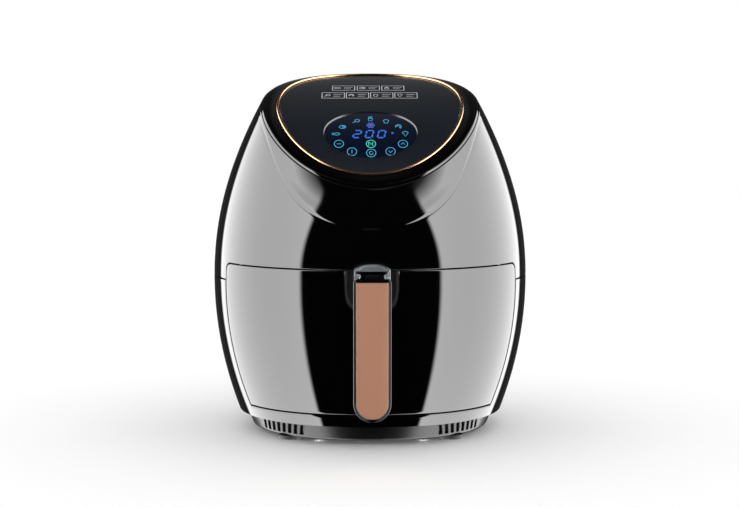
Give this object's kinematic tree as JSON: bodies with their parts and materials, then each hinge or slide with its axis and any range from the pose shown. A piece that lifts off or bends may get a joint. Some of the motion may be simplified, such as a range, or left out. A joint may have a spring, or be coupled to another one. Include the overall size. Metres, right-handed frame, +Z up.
{
  "type": "air fryer",
  "caption": "Egg-shaped digital air fryer with a pull-out basket drawer, a vertical handle under a clear button guard, and a tilted oval touch panel.",
  "frame": {"origin": "on the standing surface, under the middle of the whole object's outline", "axes": "+X to the user's right as they face the appliance, +Y to its back, +Z up; the drawer and handle face -Y"},
  "size_m": [0.311, 0.365, 0.3535],
  "materials": {
    "gloss_black": "high-gloss moulded plastic",
    "satin_black": "satin moulded plastic",
    "smoked_panel": "satin smoked panel",
    "display_glass": "clear dark window over a lit display",
    "gold_trim": "polished copper-gold trim",
    "copper_inlay": "satin copper with a fine grain",
    "clear_plastic": "clear moulded plastic",
    "rubber": "matt",
    "nonstick_coating": "satin non-stick coating",
    "galvanised_steel": "zinc-coated sheet",
    "heater_sheath": "oxidised sheath",
    "chromed_wire": "bright wire",
    "machined_steel": "machined",
    "natural_plastic": "unpainted moulded plastic",
    "circuit_board": "solder mask"
  },
  "bodies": {
    "housing": {"upper_housing": "gloss_black", "lower_housing": "gloss_black", "base_plate": "satin_black", "foot_front_left": "rubber", "foot_front_right": "rubber", "foot_rear_left": "rubber", "foot_rear_right": "rubber", "base_screw_front_left": "machined_steel", "base_screw_front_right": "machined_steel", "base_screw_rear_left": "machined_steel", "base_screw_rear_right": "machined_steel", "top_bezel": "gloss_black", "gold_trim_ring": "gold_trim", "control_panel": "smoked_panel", "display_lens": "display_glass", "display_board": "circuit_board", "touch_pad_left": "circuit_board", "touch_pad_centre": "circuit_board", "touch_pad_right": "circuit_board", "rear_air_outlet": "satin_black", "cord_gland": "rubber", "cavity_liner": "galvanised_steel", "guide_rail_left": "galvanised_steel", "guide_rail_right": "galvanised_steel", "heat_chamber": "galvanised_steel", "heater_coil": "heater_sheath", "heater_guard": "chromed_wire", "motor_bracket": "galvanised_steel", "fan_motor": "machined_steel", "power_board": "circuit_board", "temperature_probe": "machined_steel", "thermal_fuse": "machined_steel", "drawer_switch": "satin_black"},
    "fan_rotor": {"motor_shaft": "machined_steel", "hot_air_fan": "galvanised_steel", "cooling_fan": "natural_plastic", "fan_nut": "machined_steel"},
    "switch_rod": {"switch_plunger": "natural_plastic"},
    "drawer": {"pan": "nonstick_coating", "drawer_front": "gloss_black", "handle_pocket": "satin_black", "pan_bracket": "galvanised_steel", "basket": "nonstick_coating", "basket_bracket": "galvanised_steel", "handle_shell": "gloss_black", "handle_inlay": "copper_inlay", "handle_neck": "gloss_black", "latch_pin": "machined_steel", "button_spring": "machined_steel"},
    "button": {"release_button": "satin_black"},
    "guard": {"button_guard": "clear_plastic"},
    "latch": {"release_latch": "satin_black"}
  },
  "joints": [
    {"name": "drawer_slide", "type": "slide", "parent": "housing", "child": "drawer", "axis": [0, -1, 0], "range_m": [0, 0.26]},
    {"name": "guard_slide", "type": "slide", "parent": "drawer", "child": "guard", "axis": [0, 1, 0], "range_m": [0, 0.014]},
    {"name": "release_button_press", "type": "slide", "parent": "drawer", "child": "button", "axis": [0, 0, -1], "range_m": [0, 0.004], "stiffness_N_per_m": 400, "springref_m": -0.002, "deforming": ["button_spring"]},
    {"name": "release_latch_turn", "type": "hinge", "parent": "drawer", "child": "latch", "pos_m": [0, -0.1475, 0.15375], "axis": [1, 0, 0], "range_deg": [0, 10.5]},
    {"name": "fan_spin", "type": "hinge", "parent": "housing", "child": "fan_rotor", "pos_m": [0, 0.0355, 0.186], "axis": [0, 0, 1], "continuous": true},
    {"name": "switch_plunger_slide", "type": "slide", "parent": "housing", "child": "switch_rod", "axis": [0, -1, 0], "range_m": [0, 0.003]}
  ],
  "couplings": [
    {"joint": "release_latch_turn", "follows": "release_button_press", "rad_per_m": 45},
    {"joint": "switch_plunger_slide", "follows": "drawer_slide", "ratio": 0.0115}
  ]
}
